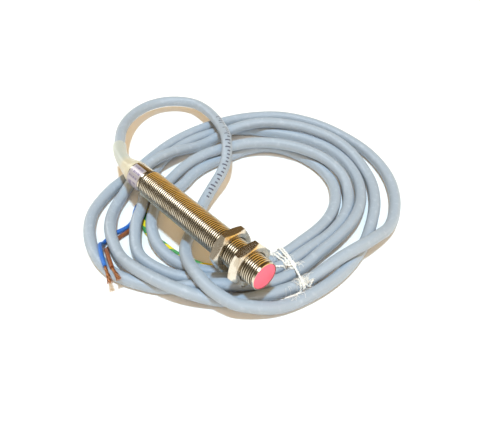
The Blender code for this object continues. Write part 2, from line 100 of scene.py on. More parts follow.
# Distance of the cable from the coil's centre at every step of the bearing.
COIL_RADII = (
    66.2, 61.0, 58.0, 60.0, 58.8, 52.8, 45.3, 41.6, 46.3, 56.7, 62.8,
    63.4, 58.6, 57.5, 65.6, 68.8, 68.0, 66.5, 58.0, 52.3, 52.3, 65.8, 69.2,
    58.3, 53.4, 48.3, 50.8, 54.3, 55.0, 51.3, 50.6, 46.9, 43.8, 43.9, 55.4,
    53.2, 47.8, 43.3, 46.0, 47.5, 40.8, 35.9, 30.3, 30.6, 33.4, 38.2, 46.6,
    48.0, 42.6, 38.2, 40.3, 42.4, 41.0, 38.3, 29.7, 27.2, 27.4,
)
TAIL = ((-75.0, 17.6), (-73.9, 14.0))
HUMP_RADIUS = 22.0
TUCKED_TURN = (32.0, 100.0, 4.2)
TIE_ANGLE = 342.0


class CoreColour(Enum):
    """The three cores of the cable."""

    GREEN_YELLOW = "green_yellow"
    BLUE = "blue"
    BROWN = "brown"


CORES = {
    CoreColour.GREEN_YELLOW: (
        (-71.8, 13.0, 1.0), (-71.4, 10.6, 1.0), (-71.6, 6.8, 1.0), (-72.8, 3.0, 1.0),
        (-73.4, 0.0, 1.0), (-72.0, -2.8, 1.0), (-68.4, -6.1, 1.0), (-64.6, -8.8, 1.0),
        (-60.4, -9.8, 1.0), (-56.2, -8.8, 1.0), (-52.3, -8.3, 1.0), (-47.5, -8.0, 1.0),
        (-43.0, -7.5, 1.0), (-38.4, -5.9, 1.0), (-33.1, -4.4, 1.0), (-28.8, -1.5, 1.0)),
    CoreColour.BLUE: (
        (-75.7, 12.2, 1.0), (-76.6, 9.6, 1.0), (-78.4, 5.6, 1.0), (-79.6, 1.4, 1.0),
        (-78.9, -2.2, 1.0), (-76.5, -5.4, 1.0), (-73.3, -8.4, 1.0), (-71.0, -11.4, 1.0),
        (-70.1, -14.8, 1.0), (-70.3, -18.9, 1.0), (-69.7, -23.2, 1.1), (-67.9, -27.2, 1.7),
        (-65.3, -30.0, 4.7), (-61.2, -32.3, 6.4), (-57.1, -34.1, 6.4), (-52.2, -35.9, 6.4)),
    CoreColour.BROWN: (
        (-73.7, 12.6, 1.0), (-74.2, 9.8, 1.0), (-75.8, 6.2, 1.0), (-77.0, 2.4, 1.0),
        (-76.6, -1.0, 1.0), (-74.4, -3.9, 1.0), (-71.4, -6.6, 1.0), (-68.9, -9.4, 1.0),
        (-67.9, -12.8, 1.0), (-67.5, -16.4, 1.0), (-67.0, -20.6, 1.0), (-65.7, -24.5, 1.2),
        (-63.6, -27.9, 1.9), (-60.8, -30.0, 4.9), (-57.2, -31.5, 6.4), (-53.2, -33.0, 6.4),
        (-49.9, -34.2, 6.4)),
}
CORE_ENDS = {
    CoreColour.GREEN_YELLOW: ((-28.5, -1.3, 1.0), (-26.4, 0.6, 1.0), (-24.8, 3.4, 0.8)),
    CoreColour.BLUE: ((-51.8, -36.0, 6.4), (-48.3, -37.1, 6.4), (-43.8, -39.1, 6.2)),
    CoreColour.BROWN: ((-49.5, -34.3, 6.4), (-46.6, -34.6, 6.4), (-43.0, -35.6, 6.2)),
}


def smooth_curve(knots: Sequence, steps: int) -> np.ndarray:
    """Points on the Catmull-Rom curve through knots.

    Args:
        knots: rows of numbers, each column smoothed alike.
        steps: points to each stretch between two knots.

    Returns:
        The rows of the smooth curve.
    """
    rows = np.asarray(knots, float)
    rows = np.vstack([2 * rows[0] - rows[1], rows, 2 * rows[-1] - rows[-2]])
    points = []
    for a, b, c, d in zip(rows, rows[1:], rows[2:], rows[3:]):
        for t in np.linspace(0.0, 1.0, steps, endpoint=False):
            points.append(0.5 * (2 * b + (c - a) * t + (2 * a - 5 * b + 4 * c - d) * t * t
                                 + (3 * b - a - 3 * c + d) * t ** 3))
    points.append(rows[-2])
    return np.array(points)


def evenly(points: np.ndarray, step: float) -> tuple[np.ndarray, np.ndarray]:
    """The same line with a point at every step.

    Args:
        points: rows whose first three columns are a place.
        step: distance between the new points.

    Returns:
        The new rows and each one's distance along the line.
    """
    length = np.linalg.norm(np.diff(points[:, :3], axis=0), axis=1)
    along = np.concatenate([[0.0], np.cumsum(length)])
    stations = np.linspace(0.0, along[-1], int(round(along[-1] / step)) + 1)
    columns = [np.interp(stations, along, points[:, k]) for k in range(points.shape[1])]
    return np.stack(columns, axis=1), stations


@dataclass
class CableRoute:
    """The cable's middle line, laid down turn by turn on the floor, the cores and itself."""

    step: float = 2.0

    def __post_init__(self) -> None:
        """Work the whole line out once."""
        self.plan, self.along = self._plan()
        self.line = np.column_stack([self.plan[:, :2], self._settle()])

    def _coil_knots(self) -> list[tuple[float, float, float, float]]:
        """Knots of the coil every 15 degrees: place, lowest height and angle turned."""
        halves = smooth_curve(np.array(COIL_RADII)[:, None], 2)[:, 0]
        angles = COIL_FIRST + np.arange(len(halves)) * COIL_STEP / 2.0
        rows = []
        for radius, angle in zip(halves, angles):
            x = COIL_CENTRE[0] + radius * math.cos(math.radians(angle))
            y = COIL_CENTRE[1] + radius * math.sin(math.radians(angle))
            rows.append((x, y, CABLE_DIAMETER / 2.0, angle - 300.0))
        return rows

    def _plan(self) -> tuple[np.ndarray, np.ndarray]:
        """The route seen from above, with its lowest heights and turn angles."""
        coil = self._coil_knots()
        knots = [(x, y, h, 0.0) for x, y, h in LOOP] + coil
        knots += [(x, y, CABLE_DIAMETER / 2.0, coil[-1][3]) for x, y in TAIL]
        return evenly(smooth_curve(knots, 8), self.step)

    def _on_cores(self) -> np.ndarray:
        """Lowest height of the cable's middle where it lies over a stripped core."""
        lying = np.vstack([evenly(smooth_curve(route, 6), 1.0)[0] for route in CORES.values()])
        core = lying[lying[:, 2] < 2.0]
        reach = (CABLE_DIAMETER + CORE_DIAMETER) / 2.0
        away = np.linalg.norm(self.plan[:, None, :2] - core[None, :, :2], axis=2)
        over = np.sqrt(np.clip(reach ** 2 - away ** 2, 0.0, None))
        heights = (core[None, :, 2] + over) * (away < reach)
        heights[self.plan[:, 3] > self._coil_knots()[-3][3]] = 0.0
        return heights.max(axis=1)

    def _below_nuts(self) -> np.ndarray:
        """Greatest height that keeps the cable clear of a nut turning on the barrel."""
        x, y = self.plan[:, 0], self.plan[:, 1]
        reach = NUT_FLATS / math.sqrt(3.0) + CABLE_DIAMETER / 2.0 + 0.1
        travelled = (x > THREAD_END) & (x < 1.0) & (np.abs(y) < reach)
        inside = np.sqrt(np.clip(reach ** 2 - y ** 2, 0.0, None))
        return np.where(travelled, -FLOOR_Z - inside, 99.0)

    def _settle(self) -> np.ndarray:
        """Height of the middle at each point, later turns lying below earlier ones."""
        plan, along = self.plan, self.along
        turn = plan[:, 3]
        rank = 6.0 - turn / 360.0
        rank[(turn > TUCKED_TURN[0]) & (turn < TUCKED_TURN[1])] = TUCKED_TURN[2]
        apart = np.linalg.norm(plan[:, None, :2] - plan[None, :, :2], axis=2)
        between = np.abs(along[:, None] - along[None])
        touch = CABLE_DIAMETER + 0.06
        rise = np.sqrt(np.clip(touch ** 2 - apart ** 2, 0.0, None))
        above = (apart < touch) & (between > 15.0) & (rank[:, None] > rank[None])
        lowest = np.maximum(plan[:, 2], self._on_cores())
        kernel = np.exp(-0.5 * (np.arange(-6, 7) * 2.0 / 4.0) ** 2)
        kernel /= kernel.sum()
        height = lowest.copy()
        for _ in range(12):
            needed = np.maximum(lowest, np.where(above, height[None] + rise, 0.0).max(axis=1))
            height = np.max(needed[None] - between ** 2 / (2.0 * HUMP_RADIUS), axis=1)
            eased = np.convolve(np.pad(height, 6, mode="edge"), kernel, "valid")
            height = np.maximum(eased, needed)
        return np.minimum(height, self._below_nuts())

    def between(self, first: float, last: float) -> np.ndarray:
        """The stretch of the line between two distances along it, in metres in the frame."""
        inside = (self.along >= first) & (self.along <= last)
        return to_frame(self.line[inside])


def to_frame(points: Iterable) -> np.ndarray:
    """Points in millimetres with heights above the floor, as metres in the frame."""
    return (np.asarray(points, float)[:, :3] + np.array((0.0, 0.0, FLOOR_Z))) * MM


# ------------------------------------------------------------------ shader building

class Term:
    """A socket that takes part in arithmetic: an expression on terms adds its Math nodes."""

    def __init__(self, graph: "Graph", socket: bpy.types.NodeSocket) -> None:
        """Wrap a socket of the graph's tree."""
        self.graph = graph
        self.socket = socket

    def fraction(self) -> "Term":
        """The part after the decimal point."""
        return self.graph.math("FRACT", self)

    def floor(self) -> "Term":
        """The whole number below."""
        return self.graph.math("FLOOR", self)

    def clamp(self) -> "Term":
        """Held between zero and one."""
        return self.graph.math("MINIMUM", self.graph.math("MAXIMUM", self, 0.0), 1.0)


def operator_method(operation: str, swapped: bool) -> Callable[[Term, "Term | float"], Term]:
    """A method for Term that adds one operation's Math node, its two values swapped or not."""
    def apply(term: Term, other: "Term | float") -> Term:
        """The operation on this term and another value."""
        return term.graph.math(operation, *((other, term) if swapped else (term, other)))
    return apply


for _method, _operation, _swapped in (
        ("__add__", "ADD", False), ("__radd__", "ADD", False), ("__mul__", "MULTIPLY", False),
        ("__rmul__", "MULTIPLY", False), ("__sub__", "SUBTRACT", False),
        ("__rsub__", "SUBTRACT", True), ("__truediv__", "DIVIDE", False),
        ("__pow__", "POWER", False), ("__gt__", "GREATER_THAN", False),
        ("__lt__", "LESS_THAN", False)):
    setattr(Term, _method, operator_method(_operation, _swapped))


class Graph:
    """The node tree of a material, a world or a shape, with one method that makes any node."""

    def __init__(self, tree: bpy.types.NodeTree) -> None:
        """Take over a tree."""
        self.tree = tree

    def node(self, kind: str, settings: dict | None = None, **values: object) -> bpy.types.Node:
        """Make a node.

        Args:
            kind: the node's type; a shader node's goes without its ShaderNode prefix.
            settings: attributes set before its sockets; "stops" fills a colour ramp.
            values: numbers, colours or links by socket name, with _ for a space.

        Returns:
            The node.
        """
        prefix = "" if kind.startswith(("GeometryNode", "FunctionNode")) else "ShaderNode"
        made = self.tree.nodes.new(prefix + kind)
        for key, value in (settings or {}).items():
            if key == "stops":
                self._fill_ramp(made.color_ramp, value)
            else:
                setattr(made, key, value)
        for key, value in values.items():
            if key.startswith("in"):
                socket = made.inputs[int(key[2:])]
            else:
                socket = made.inputs[key.replace("_", " ")]
            self.feed(socket, value)
        return made

    @staticmethod
    def _fill_ramp(ramp: bpy.types.ColorRamp, stops: Sequence[tuple[float, tuple]]) -> None:
        """Set a ramp's stops from (position, colour) pairs."""
        while len(ramp.elements) < len(stops):
            ramp.elements.new(1.0)
        for element, (position, colour) in zip(ramp.elements, stops):
            element.position = position
            element.color = (*colour, 1.0)

    def feed(self, socket: bpy.types.NodeSocket, value: object) -> None:
        """Set a socket's value, or link it to a term, a node's first output or a socket."""
        if isinstance(value, Term):
            self.tree.links.new(value.socket, socket)
        elif isinstance(value, bpy.types.Node):
            self.tree.links.new(value.outputs[0], socket)
        elif isinstance(value, bpy.types.NodeSocket):
            self.tree.links.new(value, socket)
        elif isinstance(value, tuple) and len(value) == 3 and socket.type == "RGBA":
            socket.default_value = (*value, 1.0)
        else:
            socket.default_value = value

    def math(self, operation: str, *values: "Term | float") -> Term:
        """A Math node's result."""
        made = self.node("Math", {"operation": operation})
        for socket, value in zip(made.inputs, values):
            self.feed(socket, value)
        return Term(self, made.outputs[0])

    def noise(self, vector: object, scale: float, detail: float = 2.0) -> Term:
        """A noise texture's value on a vector."""
        made = self.node("TexNoise", None, Vector=vector, Scale=scale, Detail=detail)
        return Term(self, made.outputs[0])

    def mix(self, factor: "Term | float", one: object, two: object) -> bpy.types.NodeSocket:
        """A colour mixed from two."""
        made = self.node("Mix", {"data_type": "RGBA"}, in0=factor, in6=one, in7=two)
        return made.outputs[2]

    def ramp(self, factor: Term, stops: Sequence[tuple[float, tuple]]) -> bpy.types.NodeSocket:
        """A colour looked up on a ramp."""
        return self.node("ValToRGB", {"stops": stops}, Fac=factor).outputs[0]

    def cable_map(self) -> tuple[Term, Term]:
        """The piece's own UV map: how far along it, and what share of the way round."""
        return self.parts(self.node("UVMap", {"uv_map": "cable"}))[:2]

    def surface(self, shader: bpy.types.Node, colour: object, roughness: Term, normal: object) -> None:
        """Connect the three values that vary over a surface to its shader."""
        self.feed(shader.inputs["Base Color"], colour)
        self.feed(shader.inputs["Roughness"], roughness)
        self.feed(shader.inputs["Normal"], normal)

    def object_place(self) -> bpy.types.NodeSocket:
        """Object coordinates."""
        return self.node("TexCoord").outputs["Object"]

    def parts(self, vector: object) -> tuple[Term, Term, Term]:
        """A vector's three numbers."""
        made = self.node("SeparateXYZ", None, Vector=vector)
        return tuple(Term(self, made.outputs[k]) for k in range(3))

    def bump(self, height: Term, strength: float, distance: float) -> bpy.types.NodeSocket:
        """A bumped normal."""
        return self.node("Bump", None, Height=height, Strength=strength,
                         Distance=distance).outputs[0]


@dataclass(frozen=True)
class Finish:
    """A plain finish: one base colour with soft mottling, roughness variation and fine bump."""

    name: str
    colour: tuple[float, float, float]
    roughness: float = 0.45
    metallic: float = 0.0
    mottle: float = 0.06
    mottle_scale: float = 180.0
    bump: float = 0.15
    bump_scale: float = 2500.0
    bump_depth: float = 0.00002
    sheen: float = 0.0
    subsurface: float = 0.0
    coat: float = 0.0

    def dress(self, graph: Graph, shader: bpy.types.Node) -> None:
        """Connect the finish's varying values to the shader."""
        place = graph.object_place()
        patches = graph.noise(place, self.mottle_scale, 3.0)
        grain = graph.noise(place, self.bump_scale, 2.0)
        dark = tuple(c * (1.0 - 2.0 * self.mottle) for c in self.colour)
        light = tuple(min(c * (1.0 + 2.0 * self.mottle), 1.0) for c in self.colour)
        graph.surface(shader, graph.mix(patches, dark, light),
                      patches * 0.16 + (self.roughness - 0.08),
                      graph.bump(grain, self.bump, self.bump_depth))

    def material(self) -> bpy.types.Material:
        """Build the material."""
        made = bpy.data.materials.new(self.name)
        made.use_nodes = True
        graph = Graph(made.node_tree)
        shader = made.node_tree.nodes["Principled BSDF"]
        shader.inputs["Metallic"].default_value = self.metallic
        shader.inputs["Subsurface Weight"].default_value = self.subsurface
        shader.inputs["Subsurface Radius"].default_value = (1.0, 0.8, 0.5)
        shader.inputs["Subsurface Scale"].default_value = 0.0015
        shader.inputs["Coat Weight"].default_value = self.coat
        shader.inputs["Coat Roughness"].default_value = 0.15
        shader.inputs["Sheen Weight"].default_value = self.sheen
        self.dress(graph, shader)
        return made


@dataclass(frozen=True)
class PlatedFinish(Finish):
    """Nickel plate on brass: painted shade darkens the thread's roots so the crests look brighter;
    faint turning marks across the axis.
    """

    stain: tuple[float, float, float] = (0.42, 0.33, 0.20)
    lines: float = 9000.0
    root: float = 0.0                 # radius of the thread's root, in metres
    # colour of the shade painted into the thread's roots
    root_shade_colour: tuple[float, float, float] = (0.075, 0.055, 0.028)

    def dress(self, graph: Graph, shader: bpy.types.Node) -> None:
        """Stains in broad patches, fine lines from the lathe, and painted shade in the thread's roots.
        """
        place = graph.object_place()
        x, y, z = graph.parts(place)
        patches = graph.noise(place, 260.0, 4.0)
        worn = ((patches - 0.46) * 5.0).clamp()
        radius = (y * y + z * z) ** 0.5
        on_thread = (x < -0.0012) * (x > THREAD_END * MM)
        # Painted shade: the thread's roots are darkened, most at the root and fading out towards the
        # crest.
        root_shade_mask = (1.15 - (radius - self.root) * 2600.0).clamp() * on_thread * float(self.root > 0.0)
        line_place = graph.node("CombineXYZ", None, X=x * self.lines).outputs[0]
        turned = graph.noise(line_place, 1.0, 1.0)
        plated = graph.mix(worn * 0.45, self.colour, self.stain)
        graph.surface(shader, graph.mix(root_shade_mask * 0.93, plated, self.root_shade_colour),
                      worn * 0.12 + turned * 0.08 + root_shade_mask * 0.3 + (self.roughness - 0.08),
                      graph.bump(turned, 0.25, 0.00001))


@dataclass(frozen=True)
class JacketFinish(Finish):
    """PVC jacket: faint extrusion streaks along the cable and soft scuffs."""

    scuff: tuple[float, float, float] = (0.60, 0.66, 0.74)
    ink: tuple[float, float, float] = (0.06, 0.06, 0.10)
    marked: tuple[float, float] = (0.128, 0.196)     # stretch that carries ink marks, in metres
    mark_pitch: float = 0.0021
    mark_band: tuple[float, float] = (0.655, 0.815)    # share of the way round

    def dress(self, graph: Graph, shader: bpy.types.Node) -> None:
        """Streaks follow the cable's own UV map: U along it, V round it."""
        along, around = graph.cable_map()
        streak_place = graph.node("CombineXYZ", None, X=along * 14.0, Y=around * 9.0).outputs[0]
        streaks = graph.noise(streak_place, 2.0, 3.0)
        place = graph.object_place()
        scuffs = ((graph.noise(place, 420.0, 5.0) - 0.55) * 4.0).clamp()
        grain = graph.noise(place, 5200.0, 2.0)
        tinted = graph.mix(streaks, tuple(c * 0.93 for c in self.colour), self.colour)
        plain = graph.mix(scuffs * 0.35, tinted, self.scuff)
        graph.surface(shader, graph.mix(self._marks(graph, along, around), plain, self.ink),
                      streaks * 0.12 + scuffs * 0.10 + (self.roughness - 0.06),
                      graph.bump(grain + streaks * 0.6, 0.16, 0.00003))

    def _marks(self, graph: Graph, along: Term, around: Term) -> Term:
        """A row of plain upright bars, some of them short, with a gap here and there."""
        first, last = self.marked
        low, high = self.mark_band
        step = (along / self.mark_pitch).floor()
        place = (along / self.mark_pitch).fraction()
        key = graph.node("CombineXYZ", None, X=step * 7.31, Y=step * 3.17).outputs[0]
        chance = graph.noise(key, 1.0, 0.0)
        stretch = (along > first) * (along < last)
        band = (around > low) * (around < high - (chance > 0.52) * (high - low) * 0.45)
        bar = (place > 0.25) * (place < 0.62) * (chance > 0.36)
        return stretch * band * bar * 0.9


@dataclass(frozen=True)
class StripedFinish(Finish):
    """Green insulation with a yellow stripe that winds slowly round the core."""

    stripe: tuple[float, float, float] = (0.92, 0.72, 0.03)
    turns_per_metre: float = 105.0

    def dress(self, graph: Graph, shader: bpy.types.Node) -> None:
        """The stripe covers under half of the way round."""
        along, around = graph.cable_map()
        band = (around + along * self.turns_per_metre).fraction() < 0.46
        grain = graph.noise(graph.object_place(), 4000.0, 2.0)
        graph.surface(shader, graph.mix(band, self.colour, self.stripe),
                      grain * 0.1 + (self.roughness - 0.05), graph.bump(grain, 0.12, 0.00002))


@dataclass(frozen=True)
class LabelFinish(Finish):
    """Silver-lilac foil with plain rules and blocks in place of any print."""

    ink: tuple[float, float, float] = (0.20, 0.17, 0.30)

    def dress(self, graph: Graph, shader: bpy.types.Node) -> None:
        """Rows of short dashes on the label's own UV map, and one solid block."""
        along, around = graph.cable_map()
        rows = (around * 9.0).fraction()
        row = (around * 9.0).floor()
        broken = graph.noise(graph.node("CombineXYZ", None, X=along * 26.0, Y=row * 3.7).outputs[0],
                             1.0, 0.0)
        print_area = (along > 0.12) * (along < 0.88)
        dashes = (rows > 0.30) * (rows < 0.68) * (broken > 0.47) * print_area
        block = (around > 0.40) * (around < 0.62) * (along > 0.14) * (along < 0.40)
        inked = (dashes * (1.0 - block) + block * 0.8).clamp()
        patches = graph.noise(graph.object_place(), 300.0, 2.0)
        graph.surface(shader, graph.mix(inked, self.colour, self.ink),
                      patches * 0.12 + inked * 0.15 + (self.roughness - 0.06),
                      graph.bump(patches, 0.1, 0.00003))


@dataclass(frozen=True)
class BootFinish(Finish):
    """Cream moulding that turns into a thin grey sleeve through which the jacket shows."""

    sleeve: tuple[float, float, float] = (0.46, 0.50, 0.47)
    change: float = 0.42

    def dress(self, graph: Graph, shader: bpy.types.Node) -> None:
        """The change from moulding to sleeve follows the boot's own UV map."""
        along, _ = graph.cable_map()
        place = graph.object_place()
        patches = graph.noise(place, 330.0, 3.0)
        thin = ((along + patches * 0.12 - self.change) * 7.0).clamp()
        moulded = graph.mix(patches, tuple(c * 0.86 for c in self.colour), self.colour)
        grain = graph.noise(place, 2200.0, 2.0)
        graph.surface(shader, graph.mix(thin, moulded, self.sleeve),
                      patches * 0.2 + (self.roughness - 0.1),
                      graph.bump(grain + patches, 0.2, 0.00004))


NICKEL = PlatedFinish("nickel_plate", (0.70, 0.64, 0.53), roughness=0.19, metallic=1.0, root=0.00548)
NUT_METAL = PlatedFinish("nut_plate", (0.76, 0.71, 0.62), roughness=0.24, metallic=1.0, lines=3000.0)
FACE = Finish("coral_face", (0.95, 0.15, 0.25), roughness=0.42, mottle=0.05, mottle_scale=350.0,
              subsurface=0.15)
JACKET = JacketFinish("jacket_pvc", (0.345, 0.412, 0.498), roughness=0.38)
BOOT = BootFinish("boot_pvc", (0.62, 0.58, 0.45), roughness=0.32, subsurface=0.25, coat=0.2)
LABEL = LabelFinish("label_foil", (0.45, 0.42, 0.46), roughness=0.36, metallic=0.35)
TWINE = Finish("twine_fibre", (0.90, 0.89, 0.85), roughness=0.85, mottle=0.08, mottle_scale=900.0,
               bump=0.5, sheen=0.4)
BLUE = Finish("blue_insulation", (0.025, 0.14, 0.50), roughness=0.36, mottle=0.08)
BROWN = Finish("brown_insulation", (0.22, 0.075, 0.03), roughness=0.38, mottle=0.08)
GREEN_YELLOW = StripedFinish("green_yellow_insulation", (0.07, 0.33, 0.10), roughness=0.38)
COPPER = Finish("copper_strand", (0.56, 0.25, 0.11), roughness=0.34, metallic=1.0, mottle=0.12,
                mottle_scale=900.0)
CORE_FINISHES = {CoreColour.BLUE: BLUE, CoreColour.BROWN: BROWN, CoreColour.GREEN_YELLOW: GREEN_YELLOW}
INNER_FINISHES = {
    "ferrite": Finish("ferrite_grey", (0.05, 0.05, 0.055), roughness=0.7, mottle=0.12),
    "bobbin_plastic": Finish("bobbin_plastic", (0.82, 0.80, 0.72), roughness=0.5),
    "copper": Finish("winding_copper", (0.62, 0.27, 0.12), roughness=0.32, metallic=1.0),
    "board": Finish("solder_mask", (0.03, 0.20, 0.08), roughness=0.38, mottle=0.1, mottle_scale=900.0),
    "component": Finish("moulded_epoxy", (0.03, 0.03, 0.034), roughness=0.5, mottle=0.1),
    "ceramic": Finish("dipped_ceramic", (0.06, 0.16, 0.40), roughness=0.4, coat=0.3),
    "tinned_steel": Finish("tinned_sheet", (0.70, 0.70, 0.70), roughness=0.3, metallic=1.0),
    "potting_resin": Finish("cast_resin", (0.05, 0.05, 0.055), roughness=0.3, coat=0.4),
    "brown_insulation": BROWN, "blue_insulation": BLUE,
    "green_yellow_insulation": Finish("lead_green", (0.10, 0.40, 0.10), roughness=0.4),
}


# ------------------------------------------------------------------ mesh building

def add_piece(name: str, mesh: bpy.types.Mesh, finish: Finish, body: str) -> bpy.types.Object:
    """Make a finished piece of a mesh already in place.

    Args:
        name: the piece's name.
        mesh: its mesh, in metres in the frame.
        finish: what it is made of.
        body: the CAD body it rides on.

    Returns:
        The new object.
    """
    mesh.materials.clear()
    mesh.materials.append(material_of(finish))
    made = bpy.data.objects.new(name, mesh)
    bpy.context.scene.collection.objects.link(made)
    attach(made, body)
    LOG.info("%s: %d faces on %s", name, len(mesh.polygons), body)
    return made


_MATERIALS: dict[str, bpy.types.Material] = {}


def material_of(finish: Finish) -> bpy.types.Material:
    """The finish's material, built once."""
    if finish.name not in _MATERIALS:
        _MATERIALS[finish.name] = finish.material()
    return _MATERIALS[finish.name]


def mesh_from(bm: bmesh.types.BMesh, name: str, sharp: float = 35.0) -> bpy.types.Mesh:
    """A smooth-shaded mesh from a bmesh, its faces turned outwards.

    Args:
        bm: the shape, which is freed.
        name: the mesh's name.
        sharp: angle in degrees past which an edge stays sharp.

    Returns:
        The mesh.
    """
    bmesh.ops.recalc_face_normals(bm, faces=bm.faces)
    mesh = bpy.data.meshes.new(name)
    bm.to_mesh(mesh)
    bm.free()
    mesh.shade_smooth()
    mesh.set_sharp_from_angle(angle=math.radians(sharp))
    return mesh


def join_rings(bm: bmesh.types.BMesh, one: list, two: list) -> None:
    """Fill between two rings of vertices, either of which may be a single point."""
    count = max(len(one), len(two))
    for i in range(count if len(one) + len(two) > 2 else 0):
        j = (i + 1) % count
        corners = [one[i % len(one)], one[j % len(one)], two[j % len(two)], two[i % len(two)]]
        bm.faces.new(list(dict.fromkeys(corners)))


def lathe(name: str, profile: Sequence[tuple[float, float]], segments: int = 96) -> bpy.types.Mesh:
    """A piece turned about the barrel's axis.

    Args:
        name: the mesh's name.
        profile: a loop of (x, radius) in millimetres.
        segments: sides of the circle.

    Returns:
        The mesh in metres.
    """
    bm = bmesh.new()
    rings = []
    for x, radius in profile:
        angles = [2.0 * math.pi * i / segments for i in range(segments if radius else 1)]
        rings.append([bm.verts.new((x * MM, radius * MM * math.cos(a), radius * MM * math.sin(a)))
                      for a in angles])
    for one, two in zip(rings, rings[1:] + rings[:1]):
        join_rings(bm, one, two)
    return mesh_from(bm, name)


def ring_at(bm: bmesh.types.BMesh, frame: tuple[Vector, Vector, Vector], radius: float,
            sides: int) -> list[bmesh.types.BMVert]:
    """A ring of vertices round one frame of a path."""
    place, side, up = frame
    return [bm.verts.new(place + radius * (math.cos(a) * side + math.sin(a) * up))
            for a in np.linspace(0.0, 2.0 * math.pi, sides, endpoint=False)]


def frames_along(path: np.ndarray) -> list[tuple[Vector, Vector, Vector]]:
    """A place and two directions square to the path at each of its points, without twist."""
    steps = np.gradient(path, axis=0)
    frames = []
    side = None
    for place, step in zip(path, steps):
        forward = Vector(step).normalized()
        if side is None:
            side = forward.cross(Vector((0.0, 0.0, 1.0))).normalized()
        side = (side - side.dot(forward) * forward).normalized()
        frames.append((Vector(place), side, forward.cross(side)))
    return frames


def tube(name: str, path: np.ndarray, radius: "float | Callable[[float], float]",
         sides: int = 20, round_end: bool = True, wobble: float = 0.0) -> bpy.types.Mesh:
    """A tube along a path, with a UV map that runs along and round it.

    Args:
        name: the mesh's name.
        path: points in metres.
        radius: its radius, or a function of the distance along from 0 to 1.
        sides: sides of its section.
        round_end: whether its edges at both ends are eased.
        wobble: how much the radius varies along, as a share of it.

    Returns:
        The mesh.
    """
    along = np.concatenate([[0.0], np.cumsum(np.linalg.norm(np.diff(path, axis=0), axis=1))])
    bm = bmesh.new()
    uv = bm.loops.layers.uv.new("cable")
    rings = []
    frames = frames_along(path)
    for k, frame_here in enumerate(frames):
        size = radius(along[k] / along[-1]) if callable(radius) else radius
        size *= 1.0 + wobble * math.sin(along[k] * 173.0) * math.sin(along[k] * 61.0 + 1.3)
        rings.append(ring_at(bm, frame_here, size, sides))
    for k in range(len(rings) - 1):
        for i in range(sides):
            j = (i + 1) % sides
            face = bm.faces.new((rings[k][i], rings[k][j], rings[k + 1][j], rings[k + 1][i]))
            spans = ((k, i), (k, i + 1), (k + 1, i + 1), (k + 1, i))
            for loop, (station, turn) in zip(face.loops, spans):
                loop[uv].uv = (along[station], turn / sides)
    for ring, frame_index in ((rings[0], 0), (rings[-1], -1)):
        middle = bm.verts.new(frames[frame_index][0])
        for i in range(sides):
            bm.faces.new((ring[i], ring[(i + 1) % sides], middle))
    if round_end:
        rims = [edge for edge in bm.edges if len(edge.link_faces) == 2
                and edge.calc_face_angle(0.0) > math.radians(60.0)]
        bmesh.ops.bevel(bm, geom=rims, offset=0.0003, segments=2, affect="EDGES")
    return mesh_from(bm, name, 50.0)


# ------------------------------------------------------------------ geometry nodes

class NodeShape(Graph):
    """A Geometry Nodes tree built step by step, then baked to a plain mesh."""

    def __init__(self, name: str) -> None:
        """Start a tree with a geometry output."""
        super().__init__(bpy.data.node_groups.new(name, "GeometryNodeTree"))
        self.name = name
        self.tree.interface.new_socket("Geometry", in_out="OUTPUT", socket_type="NodeSocketGeometry")
        self.source = self.tree.nodes.new("NodeGroupInput")
        self.sink = self.tree.nodes.new("NodeGroupOutput")
        self.values: dict[str, object] = {}

    def number(self, name: str, value: float | int) -> Term:
        """A named input of the tree and its value."""
        kind = "NodeSocketInt" if isinstance(value, int) else "NodeSocketFloat"
        socket = self.tree.interface.new_socket(name, in_out="INPUT", socket_type=kind)
        socket.default_value = value
        self.values[socket.identifier] = value
        return Term(self, self.source.outputs[name])

    def bake(self, geometry: bpy.types.NodeSocket, finish: Finish, body: str,
             slot: str) -> bpy.types.Object:
        """Realize and colour the geometry, run the tree once and keep its plain mesh."""
        real = self.node("GeometryNodeRealizeInstances", None, Geometry=geometry)
        dressed = self.node("GeometryNodeSetMaterial", None, Geometry=real,
                            Material=material_of(finish))
        self.tree.links.new(dressed.outputs[0], self.sink.inputs[0])
        holder = bpy.data.objects.new(self.name + "_holder", bpy.data.meshes.new("holder"))
        bpy.context.scene.collection.objects.link(holder)
        modifier = holder.modifiers.new("shape", "NODES")
        modifier.node_group = self.tree
        for identifier, value in self.values.items():
            modifier[identifier] = value
        graph = bpy.context.evaluated_depsgraph_get()
        mesh = bpy.data.meshes.new_from_object(holder.evaluated_get(graph))
        holder.modifiers.remove(modifier)
        bpy.data.objects.remove(holder, do_unlink=True)
        bm = bmesh.new()
        bm.from_mesh(mesh)
        return add_piece(self.name, mesh_from(bm, self.name, 60.0), finish, body)


# ------------------------------------------------------------------ the sensor's pieces

@dataclass(frozen=True)
class ThreadSize:
    """Outer thread of the barrel, in millimetres."""

    front: float = -1.3
    rear: float = THREAD_END + 0.5
    crest: float = 6.0
    root: float = 5.42
    pitch: float = 1.0
    rows: int = 8                     # rows of the mesh to a pitch
    around: int = 96
    root_width: float = 0.12          # half of the root's flat, as a share of the pitch
    flank_slope: float = 3.7
    run_in: float = 0.8
    run_out: float = 0.5
    sunk: float = 0.04                # how far its ends dip under the tube's surface


